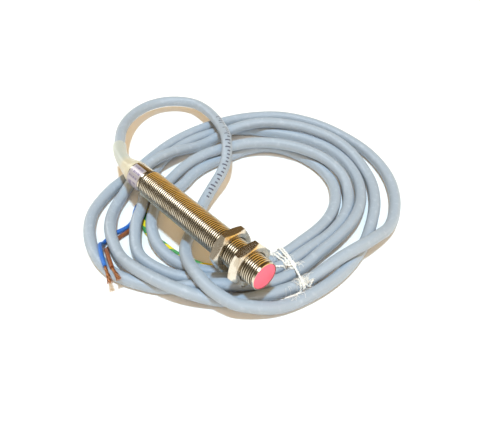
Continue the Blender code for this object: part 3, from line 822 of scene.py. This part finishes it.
class Barrel:
    """Nickel-plated brass tube with its thread."""

    def __init__(self, size: ThreadSize) -> None:
        """Keep the thread's size."""
        self.size = size

    def build(self) -> list[bpy.types.Object]:
        """Make the turned body and the thread round it."""
        pieces = [self._body(), self._thread()]
        for piece in pieces:
            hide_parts("barrel")
        return pieces

    def _body(self) -> bpy.types.Object:
        """Turned tube with a front collar, a seat for the face and a plain rear end."""
        size = self.size
        profile = [
            (-80.0, 4.6), (-80.0, 5.2), (-79.92, 5.36), (-79.7, 5.45), (THREAD_END, 5.45),
            (size.rear, size.root), (size.front + 0.1, size.root), (-0.95, size.root),
            (-0.85, 5.8), (-0.15, 5.8), (0.0, 5.68), (0.0, 5.5), (-0.9, 5.5), (-0.9, 4.6)]
        return add_piece("barrel_body", lathe("barrel_body", profile, 128), NICKEL, "root")

    def _thread(self) -> bpy.types.Object:
        """Right-hand thread: a grid rolled into a sleeve whose rows follow the helix."""
        size = self.size
        shape = NodeShape("barrel_thread")
        front, rear = shape.number("Front", size.front * MM), shape.number("Rear", size.rear * MM)
        crest, root = shape.number("Crest", size.crest * MM), shape.number("Root", size.root * MM)
        pitch = shape.number("Pitch", size.pitch * MM)
        rows = int((size.front - size.rear) / size.pitch * size.rows) + 3 * size.rows
        grid = shape.node("GeometryNodeMeshGrid", None, Size_X=1.0, Size_Y=1.0,
                          Vertices_X=rows + 1, Vertices_Y=size.around + 1)
        across, along, _ = shape.parts(shape.node("GeometryNodeInputPosition"))
        row = shape.math("ROUND", (across + 0.5) * float(rows))
        turn = along + 0.5
        angle = turn * (2.0 * math.pi)
        pitches = (row - float(size.rows)) / float(size.rows) + turn
        x = shape.math("MINIMUM", shape.math("MAXIMUM", rear + (pitches - 1.0) * pitch, rear), front)
        from_root = shape.math("ABSOLUTE", ((row + 0.01) / float(size.rows)).fraction() - 0.5)
        held = ((from_root - size.root_width) * size.flank_slope).clamp()
        ends = shape.math("MINIMUM", (x - rear) / (size.run_in * MM),
                          (front - x) / (size.run_out * MM)).clamp()
        radius = root + (crest - root) * (held * ends) - (1.0 - ends) * (size.sunk * MM)
        target = shape.node("CombineXYZ", None, X=x, Y=radius * shape.math("COSINE", angle),
                            Z=radius * shape.math("SINE", angle))
        rolled = shape.node("GeometryNodeSetPosition", None, Geometry=grid, Position=target)
        merged = shape.node("GeometryNodeMergeByDistance", None, Geometry=rolled, Distance=0.000004)
        return shape.bake(merged.outputs[0], NICKEL, "root", "nickel_brass")


class SensingHead:
    """Coral plastic face with its skirt in the barrel's bore."""

    def build(self) -> bpy.types.Object:
        """Make the face cap."""
        profile = [
            (-0.05, 0.0), (-0.05, 5.1), (-0.09, 5.25), (-0.2, 5.36), (-0.78, 5.38), (-0.78, 4.48),
            (-9.0, 4.48), (-9.0, 3.98), (-0.9, 3.98), (-0.9, 0.0)]
        cap = add_piece("face_cap", lathe("face_cap", profile, 96), FACE, "root")
        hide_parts("sensing_cap")
        return cap


@dataclass(frozen=True)
class NutSize:
    """One hexagon nut, in millimetres; corner is the angle of one of its corners."""

    name: str
    face: float
    corner: float
    flats: float = NUT_FLATS
    thickness: float = 4.0
    chamfer_radius: float = 8.2
    bore: float = 6.1
    mouth: float = 6.55
    edge: float = 0.09


class LockNut:
    """Hexagon nut that runs along the barrel's thread."""

    def __init__(self, size: NutSize) -> None:
        """Keep the nut's size."""
        self.size = size

    def build(self) -> bpy.types.Object:
        """Make the nut, which stands for its hexagon and its own thread."""
        size = self.size
        bm = bmesh.new()
        columns = []
        slope = math.tan(math.radians(30.0))
        rear = size.face - size.thickness
        for i in range(180):
            turned = 2.0 * i
            off_flat = abs((turned % 60.0) - 30.0)
            radius = size.flats / 2.0 / math.cos(math.radians(off_flat))
            cut = (radius - size.chamfer_radius) * slope
            lead = size.mouth - size.bore
            section = (
                (rear, size.mouth), (rear, size.chamfer_radius), (rear + cut, radius),
                (size.face - cut, radius), (size.face, size.chamfer_radius),
                (size.face, size.mouth), (size.face - lead, size.bore), (rear + lead, size.bore))
            angle = math.radians(turned + size.corner)
            columns.append([bm.verts.new((x * MM, r * MM * math.cos(angle), r * MM * math.sin(angle)))
                            for x, r in section])
        for one, two in zip(columns, columns[1:] + columns[:1]):
            join_rings(bm, one, two)
        bmesh.ops.recalc_face_normals(bm, faces=bm.faces)
        sharp = [edge for edge in bm.edges if edge.calc_face_angle(0.0) > math.radians(20.0)]
        bmesh.ops.bevel(bm, geom=sharp, offset=size.edge * MM, segments=2, affect="EDGES",
                        clamp_overlap=True)
        body = size.name + "_hexagon"
        nut = add_piece(size.name + "_lock_nut", mesh_from(bm, size.name, 24.0), NUT_METAL, body)
        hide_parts(size.name + "_nut", size.name + "_nut_thread")
        return nut


class TypeLabel:
    """Foil label wrapped part of the way round the plain rear section."""

    first, last = 88.0, 300.0
    front, rear = -72.4, -79.4

    def build(self) -> bpy.types.Object:
        """Make the label with a UV map along and round it."""
        bm = bmesh.new()
        uv = bm.loops.layers.uv.new("cable")
        steps = 60
        columns = []
        for i in range(steps + 1):
            angle = math.radians(self.first + (self.last - self.first) * i / steps)
            y, z = math.cos(angle), math.sin(angle)
            section = ((self.rear, 5.47), (self.front, 5.47), (self.front, 5.58), (self.rear, 5.58))
            columns.append([bm.verts.new((x * MM, r * MM * y, r * MM * z)) for x, r in section])
        for i, (one, two) in enumerate(zip(columns, columns[1:])):
            for a in range(4):
                b = (a + 1) % 4
                face = bm.faces.new((one[a], one[b], two[b], two[a]))
                spans = ((a, i), (b, i), (b, i + 1), (a, i + 1))
                for loop, (corner, step) in zip(face.loops, spans):
                    loop[uv].uv = (1.0 if corner in (1, 2) else 0.0, step / steps)
        bm.faces.new(columns[0])
        bm.faces.new(columns[-1])
        label = add_piece("foil_label", mesh_from(bm, "foil_label", 40.0), LABEL, "root")
        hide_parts("type_label")
        return label


class CableBoot:
    """Hollow cream boot and sleeve that the cable comes out of."""

    shape = (
        (2.0, 4.3), (6.2, 4.3), (6.3, 5.0), (6.45, 5.12), (7.6, 5.15), (8.3, 4.95), (9.5, 4.6),
        (10.6, 4.25), (11.5, 4.05), (12.6, 3.9), (13.5, 3.7), (14.3, 3.4), (15.5, 3.3), (17.2, 3.18),
        (19.0, 3.1), (21.5, 3.03), (24.0, 3.0), (26.5, 3.0), (29.0, 3.0), (31.5, 3.0), (33.7, 3.0),
        (BOOT_END_STATION, 2.9))
    clearance = 0.15

    def build(self, route: CableRoute) -> bpy.types.Object:
        """Make the boot round the first stretch of the route."""
        bm = bmesh.new()
        outer, inner = [], []
        points = np.array([[np.interp(s, route.along, route.line[:, k]) for k in range(3)]
                           for s, _ in self.shape])
        frames = frames_along(to_frame(points))
        for frame_here, (_, radius) in zip(frames, self.shape):
            for rings, size in ((outer, radius), (inner, CABLE_DIAMETER / 2.0 + self.clearance)):
                rings.append(ring_at(bm, frame_here, size * MM, 48))
        rings = outer + inner[::-1]
        for one, two in zip(rings, rings[1:] + rings[:1]):
            join_rings(bm, one, two)
        self._map(bm, rings)
        boot = add_piece("strain_boot", mesh_from(bm, "strain_boot", 50.0), BOOT, "root")
        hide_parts("cable_boot")
        return boot

    def _map(self, bm: bmesh.types.BMesh, rings: list[list]) -> None:
        """Lay the UV map: U runs from 0 at the barrel to 1 at the free end of the sleeve."""
        uv = bm.loops.layers.uv.new("cable")
        share = {}
        for k, ring in enumerate(rings):
            station = self.shape[k if k < len(self.shape) else 2 * len(self.shape) - 1 - k][0]
            for i, vertex in enumerate(ring):
                share[vertex] = (station / BOOT_END_STATION, i / len(ring))
        for face in bm.faces:
            for loop in face.loops:
                loop[uv].uv = share[loop.vert]


class Cable:
    """Grey PVC cable: the loop behind the barrel and the tied coil."""

    def build(self, route: CableRoute) -> tuple[bpy.types.Object, np.ndarray]:
        """Make the jacket along the whole route.

        Returns:
            The piece and its middle line in metres.
        """
        path = to_frame(route.line)
        mesh = tube("jacket", path, CABLE_DIAMETER / 2.0 * MM, sides=24, wobble=0.006)
        jacket = add_piece("jacket", mesh, JACKET, "root")
        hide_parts("cable_loop", "cable_coil")
        return jacket, path


class StrippedCores:
    """Three insulated cores beyond the jacket, each with its bared copper strands."""

    def __init__(self, jacket_end: np.ndarray) -> None:
        """Keep the place where the jacket ends, in metres."""
        self.jacket_end = jacket_end

    def build(self) -> None:
        """Make all three cores."""
        for colour, knots in CORES.items():
            self._core(colour, knots)

    def _core(self, colour: CoreColour, knots: Sequence) -> None:
        """One core, from just inside the jacket's end to its bare strands."""
        path = to_frame(evenly(smooth_curve(knots, 8), 1.0)[0])
        name = colour.value
        mesh = tube(name, path, CORE_DIAMETER / 2.0 * MM, sides=16, round_end=False)
        core = add_piece(name + "_core", mesh, CORE_FINISHES[colour], "root")
        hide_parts("core_" + name)
        strands = self._strands(colour)
        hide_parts("copper_end_" + name)

    def _strands(self, colour: CoreColour) -> bpy.types.Object:
        """Fine strands that start in a bunch and splay towards their tips."""
        start, middle, end = to_frame(CORE_ENDS[colour])
        before = to_frame(CORES[colour])[-1]
        shape = NodeShape("strands_" + colour.value)
        count = shape.number("Strands", 19)
        wire = shape.number("Wire Radius", 0.00011)
        bunch = shape.number("Bunch Radius", 0.00050)
        splay = shape.number("Splay", 2.2)
        twist = shape.number("Twist", 3.4)
        steps = 14
        line = shape.node("GeometryNodeCurvePrimitiveLine")
        fine = shape.node("GeometryNodeResampleCurve", None, Curve=line, Count=steps)
        points = shape.node("GeometryNodeMeshLine", None, Count=count)
        copies = shape.node("GeometryNodeInstanceOnPoints", None, Points=points, Instance=fine)
        real = shape.node("GeometryNodeRealizeInstances", None, Geometry=copies)
        index = Term(shape, shape.node("GeometryNodeInputIndex").outputs[0])
        strand = ((index + 0.5) / float(steps)).floor()
        t = (index - strand * float(steps)) / float(steps - 1)
        chance = Term(shape, shape.node("FunctionNodeRandomValue", {"data_type": "FLOAT"}, in2=0.0,
                                        in3=1.0, ID=strand, Seed=7).outputs[1])
        angle = strand * GOLDEN_ANGLE + t * twist
        spread = chance * splay * t ** 2.0 + 1.0
        radius = (strand / count) ** 0.5 * bunch * spread
        forward = Vector(end - start).normalized()
        side = forward.cross(Vector((0.0, 0.0, 1.0))).normalized()
        up = side.cross(forward)
        cosine, sine = shape.math("COSINE", angle), shape.math("SINE", angle)
        left = 1.0 - t
        axis = []
        for k in range(3):
            centre = (left ** 2.0 * float(before[k]) + left * t * (2.0 * float(middle[k]))
                      + t ** 2.0 * float(end[k]))
            across = cosine * float(side[k]) + sine * (float(up[k]) * 0.6)
            axis.append(centre + across * radius)
        place = shape.node("CombineXYZ", None, X=axis[0], Y=axis[1], Z=axis[2])
        bent = shape.node("GeometryNodeSetPosition", None, Geometry=real, Position=place)
        ring_profile = shape.node("GeometryNodeCurvePrimitiveCircle", None, Resolution=6, Radius=wire)
        wires = shape.node("GeometryNodeCurveToMesh", None, Curve=bent, Profile_Curve=ring_profile,
                           Fill_Caps=True)
        return shape.bake(wires.outputs[0], COPPER, "root", "copper")


class TieString:
    """White twine wrapped round the bundle of turns and knotted on top."""

    wraps = 2
    radius = 0.42
    spread = 0.55
    widest = 60.0                     # the outermost turn stays outside the string
    knot_distance = 48.7
    hair = 0.055                      # radius of a loose fibre
    lay = 2.6                         # radians that the plies turn in each millimetre
    fuzz_seed = 11
    ends = (
        ((-6.4, 18.0), (-9.6, 18.6), (-12.8, 18.9), (-15.4, 17.6), (-17.4, 14.9)),
        ((-6.4, 18.0), (-7.6, 16.6), (-8.4, 14.9), (-10.2, 13.0), (-12.4, 13.3)),
        ((-6.4, 18.0), (-8.6, 19.8), (-11.0, 20.4), (-14.2, 20.2)),
        ((3.3, 15.9), (5.6, 13.9), (6.4, 11.0), (5.2, 7.8), (3.8, 5.0), (2.2, 2.6)),
        ((3.3, 15.9), (4.6, 17.2), (5.6, 18.6), (5.4, 20.6)),
    )

    def __init__(self, route: CableRoute) -> None:
        """Keep the route that it ties."""
        self.route = route

    def build(self) -> bpy.types.Object:
        """Make the wraps, the knot and the loose ends as one piece."""
        bm = bmesh.new()
        for path in (self._wrapped(), self._knot(), *self._ends()):
            self._twist(bm, path)
        self._fuzz(bm)
        twine = add_piece("twine", mesh_from(bm, "twine", 60.0), TWINE, "root")
        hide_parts("tie_string")
        return twine

    def _section(self) -> list[tuple[float, float]]:
        """Where the turns pass the tie: distance from the coil's centre and height."""
        line = self.route.line
        offset = line[:, :2] - np.array(COIL_CENTRE)
        bearing = np.degrees(np.arctan2(offset[:, 1], offset[:, 0])) % 360.0
        radii = np.hypot(offset[:, 0], offset[:, 1])
        crossed = []
        for k in range(1, len(line)):
            passes = (bearing[k - 1] - TIE_ANGLE) * (bearing[k] - TIE_ANGLE) <= 0.0
            if passes and abs(bearing[k] - bearing[k - 1]) < 20.0 and 35.0 < radii[k] < self.widest:
                crossed.append((float(radii[k]), float(line[k, 2])))
        return crossed

    def _hull(self) -> list[tuple[float, float]]:
        """Outline drawn tight round the turns, as (distance, height)."""
        reach = CABLE_DIAMETER / 2.0 + self.radius
        cloud = [(r + reach * math.cos(a), h + reach * math.sin(a)) for r, h in self._section()
                 for a in np.linspace(0.0, 2.0 * math.pi, 24, endpoint=False)]
        cloud = sorted((r, max(h, self.radius + 0.1)) for r, h in cloud)
        outline = []
        for points in (cloud, cloud[::-1]):
            side = []
            for point in points:
                while len(side) > 1 and self._turns(side[-2], side[-1], point) <= 0.0:
                    side.pop()
                side.append(point)
            outline += side[:-1]
        return outline

    @staticmethod
    def _turns(a: tuple, b: tuple, c: tuple) -> float:
        """Positive where a, b, c turn to the left."""
        return (b[0] - a[0]) * (c[1] - a[1]) - (b[1] - a[1]) * (c[0] - a[0])

    def _place(self, distance: float, height: float, along: float) -> tuple[float, float, float]:
        """A point of the tie's own plane, moved along the bundle."""
        angle = math.radians(TIE_ANGLE)
        x = COIL_CENTRE[0] + distance * math.cos(angle) - along * math.sin(angle)
        y = COIL_CENTRE[1] + distance * math.sin(angle) + along * math.cos(angle)
        return x, y, height

    def _wrapped(self) -> np.ndarray:
        """The string's line round the bundle, each wrap beside the one before."""
        outline = np.array(self._hull() + [self._hull()[0]])
        loop = evenly(np.column_stack([outline, np.zeros(len(outline))]), 0.7)[0]
        rows = []
        for wrap in range(self.wraps):
            for k, (distance, height, _) in enumerate(loop[:-1]):
                share = (wrap + k / (len(loop) - 1)) / self.wraps
                sway = 0.35 * math.sin(7.0 * share * math.pi)
                rows.append(self._place(distance, height, (share - 0.5) * 2.0 * self.spread + sway))
        return np.array(rows)

    def _lying(self, x: float, y: float) -> float:
        """Height at which the string's middle lies on whatever is below it."""
        away = np.hypot(self.route.line[:, 0] - x, self.route.line[:, 1] - y)
        strand = CABLE_DIAMETER / 2.0
        near = away < strand
        if not near.any():
            return self.radius + 0.1
        tops = self.route.line[near, 2] + np.sqrt(strand ** 2 - away[near] ** 2)
        return float(tops.max()) + self.radius + 0.05

    def _knot(self) -> np.ndarray:
        """A small bulky knot on top of the turns."""
        x, y, _ = self._place(self.knot_distance, 0.0, -0.4)
        height = max(self._lying(x + a, y + b) for a in (-1.0, 1.0) for b in (-1.0, 1.0))
        rows = []
        for t in np.linspace(0.0, 2.0 * math.pi, 80):
            r = 1.0 + 0.45 * math.cos(3.0 * t)
            rows.append((x + 1.55 * r * math.cos(2.0 * t), y + 1.25 * r * math.sin(2.0 * t),
                         height + 0.55 + 0.6 * math.sin(3.0 * t)))
        return np.array(rows)

    def _ends(self) -> list[np.ndarray]:
        """The loose ends, draped over the turns."""
        paths = []
        for end in self.ends:
            fine = evenly(np.column_stack([smooth_curve(end, 10), np.zeros(10 * (len(end) - 1) + 1)]),
                          0.8)[0]
            heights = np.array([self._lying(x, y) for x, y, _ in fine])
            eased = np.convolve(np.pad(heights, 2, mode="edge"), np.ones(5) / 5.0, "valid")
            paths.append(np.column_stack([fine[:, :2], np.maximum(eased, heights)]))
        return paths

    def _fuzz(self, bm: bmesh.types.BMesh) -> None:
        """Loose fibres that stand out round the knot and the outer side of the wrap."""
        chance = np.random.default_rng(self.fuzz_seed)
        x, y, _ = self._place(self.knot_distance, 0.0, 0.0)
        centres = [(x, y, 1.8, 70), (3.6, 16.4, 1.5, 60), (5.3, 17.6, 1.4, 30), (-13.5, 18.2, 1.6, 22),
                   (5.4, 10.4, 1.5, 26)]
        for cx, cy, spread, count in centres:
            for _ in range(count):
                a, b = cx + chance.normal(0.0, spread * 0.6), cy + chance.normal(0.0, spread * 0.6)
                heading = chance.uniform(0.0, 2.0 * math.pi)
                length = chance.uniform(1.2, 4.2)
                lift = chance.uniform(0.1, 0.9)
                bend = chance.uniform(-1.3, 1.3)
                rows = []
                for t in np.linspace(0.0, 1.0, 6):
                    turned = heading + bend * t
                    px = a + length * t * math.cos(turned)
                    py = b + length * t * math.sin(turned)
                    rows.append((px, py, self._lying(px, py) + lift * math.sin(math.pi * t)))
                self._hair(bm, np.array(rows))

    def _hair(self, bm: bmesh.types.BMesh, path: np.ndarray) -> None:
        """One fine fibre."""
        rings = [[bm.verts.new(place + self.hair * MM * (math.cos(b) * side + math.sin(b) * up))
                  for b in (0.0, 2.1, 4.2)] for place, side, up in frames_along(to_frame(path))]
        for one, two in zip(rings, rings[1:]):
            join_rings(bm, one, two)
        bm.faces.new(rings[0])
        bm.faces.new(rings[-1])

    def _twist(self, bm: bmesh.types.BMesh, path: np.ndarray) -> None:
        """Add two plies that twist round each other along a path in millimetres."""
        fine, along = evenly(path, 0.35)
        frames = frames_along(to_frame(fine))
        ply = self.radius * 0.56
        for half in range(2):
            centres = []
            for (place, side, up), s in zip(frames, along):
                a = s * self.lay + math.pi * half
                centres.append(place + ply * MM * (math.cos(a) * side + math.sin(a) * up))
            rings = []
            for centre, (_, side, up) in zip(centres, frames):
                rings.append(ring_at(bm, (centre, side, up), ply * MM, 8))
            for one, two in zip(rings, rings[1:]):
                join_rings(bm, one, two)
            bm.faces.new(rings[0])
            bm.faces.new(rings[-1])


class InnerParts:
    """The sensing coil and circuit inside the barrel, which keep the design's own shapes."""

    finishes = {
        "ferrite_core": "ferrite", "coil_bobbin": "bobbin_plastic", "coil_winding": "copper",
        "circuit_board": "board", "oscillator_chip": "component", "output_thyristor": "component",
        "bridge_rectifier": "component", "filter_capacitor": "ceramic", "trim_resistor": "ceramic",
        "varistor": "ceramic", "chip_resistor_1": "component", "chip_resistor_2": "component",
        "chip_resistor_3": "component", "chip_resistor_4": "component", "earth_tab": "tinned_steel",
        "potting_plug": "potting_resin", "inner_lead_brown": "brown_insulation",
        "inner_lead_blue": "blue_insulation", "inner_lead_green_yellow": "green_yellow_insulation",
    }

    def dress(self) -> None:
        """Give each inner part its material."""
        for name, finish in self.finishes.items():
            part = frame["nodes"][name]
            for slot in part.material_slots:
                slot.material = material_of(INNER_FINISHES[finish])


# ------------------------------------------------------------------ the studio

@dataclass(frozen=True)
class Camera:
    """Where the picture is taken from."""

    place: tuple[float, float, float] = (0.11684, -0.11539, 0.17788)
    back: tuple[float, float, float] = (0.55905, -0.49493, 0.66521)
    lens: float = 50.0

    def build(self) -> bpy.types.Object:
        """Make the camera and make it the scene's."""
        data = bpy.data.cameras.new("camera")
        data.lens = self.lens
        data.sensor_width = 36.0
        data.clip_start = 0.005
        made = bpy.data.objects.new("camera", data)
        made.rotation_euler = Vector(self.back).to_track_quat("Z", "Y").to_euler()
        made.location = self.place
        bpy.context.scene.collection.objects.link(made)
        bpy.context.scene.camera = made
        return made


class Studio:
    """White table, a near-overhead key, a weak front fill, and surroundings that differ by ray."""

    def build(self) -> None:
        """Make the floor, the lights and the surroundings."""
        bpy.context.scene.view_settings.view_transform = "Standard"
        self._floor()
        self._sun("key", (0.13, -0.115, 0.985), 3.1, 5.0, (0.62, 0.86, 1.04))
        self._sun("front_fill", (0.85, -0.35, 0.60), 0.55, 50.0, (1.0, 0.98, 0.95))
        self._world()

    def _floor(self) -> None:
        """A wide pale table top."""
        bm = bmesh.new()
        bmesh.ops.create_grid(bm, x_segments=1, y_segments=1, size=3.0)
        mesh = bpy.data.meshes.new("table")
        bm.to_mesh(mesh)
        bm.free()
        paper = Finish("table_paper", (0.93, 0.93, 0.93), roughness=0.7, mottle=0.004, bump=0.02)
        mesh.materials.append(material_of(paper))
        table = bpy.data.objects.new("table", mesh)
        table.location = (-0.05, 0.03, FLOOR_Z * MM)
        bpy.context.scene.collection.objects.link(table)

    def _sun(self, name: str, towards: tuple, strength: float, spread: float, colour: tuple) -> None:
        """A broad distant light shining from a direction."""
        data = bpy.data.lights.new(name, "SUN")
        data.energy = strength
        data.angle = math.radians(spread)
        data.color = colour
        lamp = bpy.data.objects.new(name, data)
        lamp.visible_glossy = False
        lamp.rotation_euler = Vector(towards).to_track_quat("Z", "Y").to_euler()
        bpy.context.scene.collection.objects.link(lamp)

    def _world(self) -> None:
        """White to the camera, warm to diffuse surfaces, banded to shiny ones."""
        world = bpy.data.worlds.new("studio")
        world.use_nodes = True
        bpy.context.scene.world = world
        graph = Graph(world.node_tree)
        rays = graph.node("LightPath")
        direction = graph.node("TexCoord").outputs["Generated"]
        x, y, z = graph.parts(direction)
        around = graph.math("ARCTAN2", z, y) / (2.0 * math.pi) + 0.5
        bands = graph.ramp(around, (
            (0.50, (0.42, 0.29, 0.13)), (0.57, (0.30, 0.19, 0.08)), (0.64, (0.10, 0.065, 0.035)),
            (0.755, (0.16, 0.11, 0.06)), (0.78, (5.5, 5.5, 5.5)), (0.815, (5.0, 5.0, 4.9)),
            (0.845, (0.24, 0.21, 0.15)), (0.925, (0.09, 0.07, 0.045)), (0.985, (0.85, 0.80, 0.70))))
        golden = ((x - 0.1) * 3.0).clamp() * ((y + 0.05) * 3.0).clamp()
        shiny = graph.mix(golden, bands, (1.65, 1.0, 0.26))
        soft = graph.mix(Term(graph, rays.outputs["Is Glossy Ray"]), (0.82, 0.56, 0.27), shiny)
        seen = graph.mix(Term(graph, rays.outputs["Is Camera Ray"]), soft, (1.0, 1.0, 1.0))
        background = world.node_tree.nodes["Background"]
        graph.feed(background.inputs["Color"], seen)
        background.inputs["Strength"].default_value = 1.0


def main() -> None:
    """Build the whole sensor and its studio."""
    Camera().build()
    route = CableRoute()
    jacket, path = Cable().build(route)
    boot = CableBoot().build(route)
    twine = TieString(route).build()
    StrippedCores(path[-1]).build()
    Barrel(ThreadSize()).build()
    SensingHead().build()
    for nut in (NutSize("front", -6.4, 7.6), NutSize("rear", -16.7, 51.6)):
        LockNut(nut).build()
    TypeLabel().build()
    InnerParts().dress()
    Studio().build()
    bpy.context.view_layer.update()


if __name__ == "__main__":
    main()
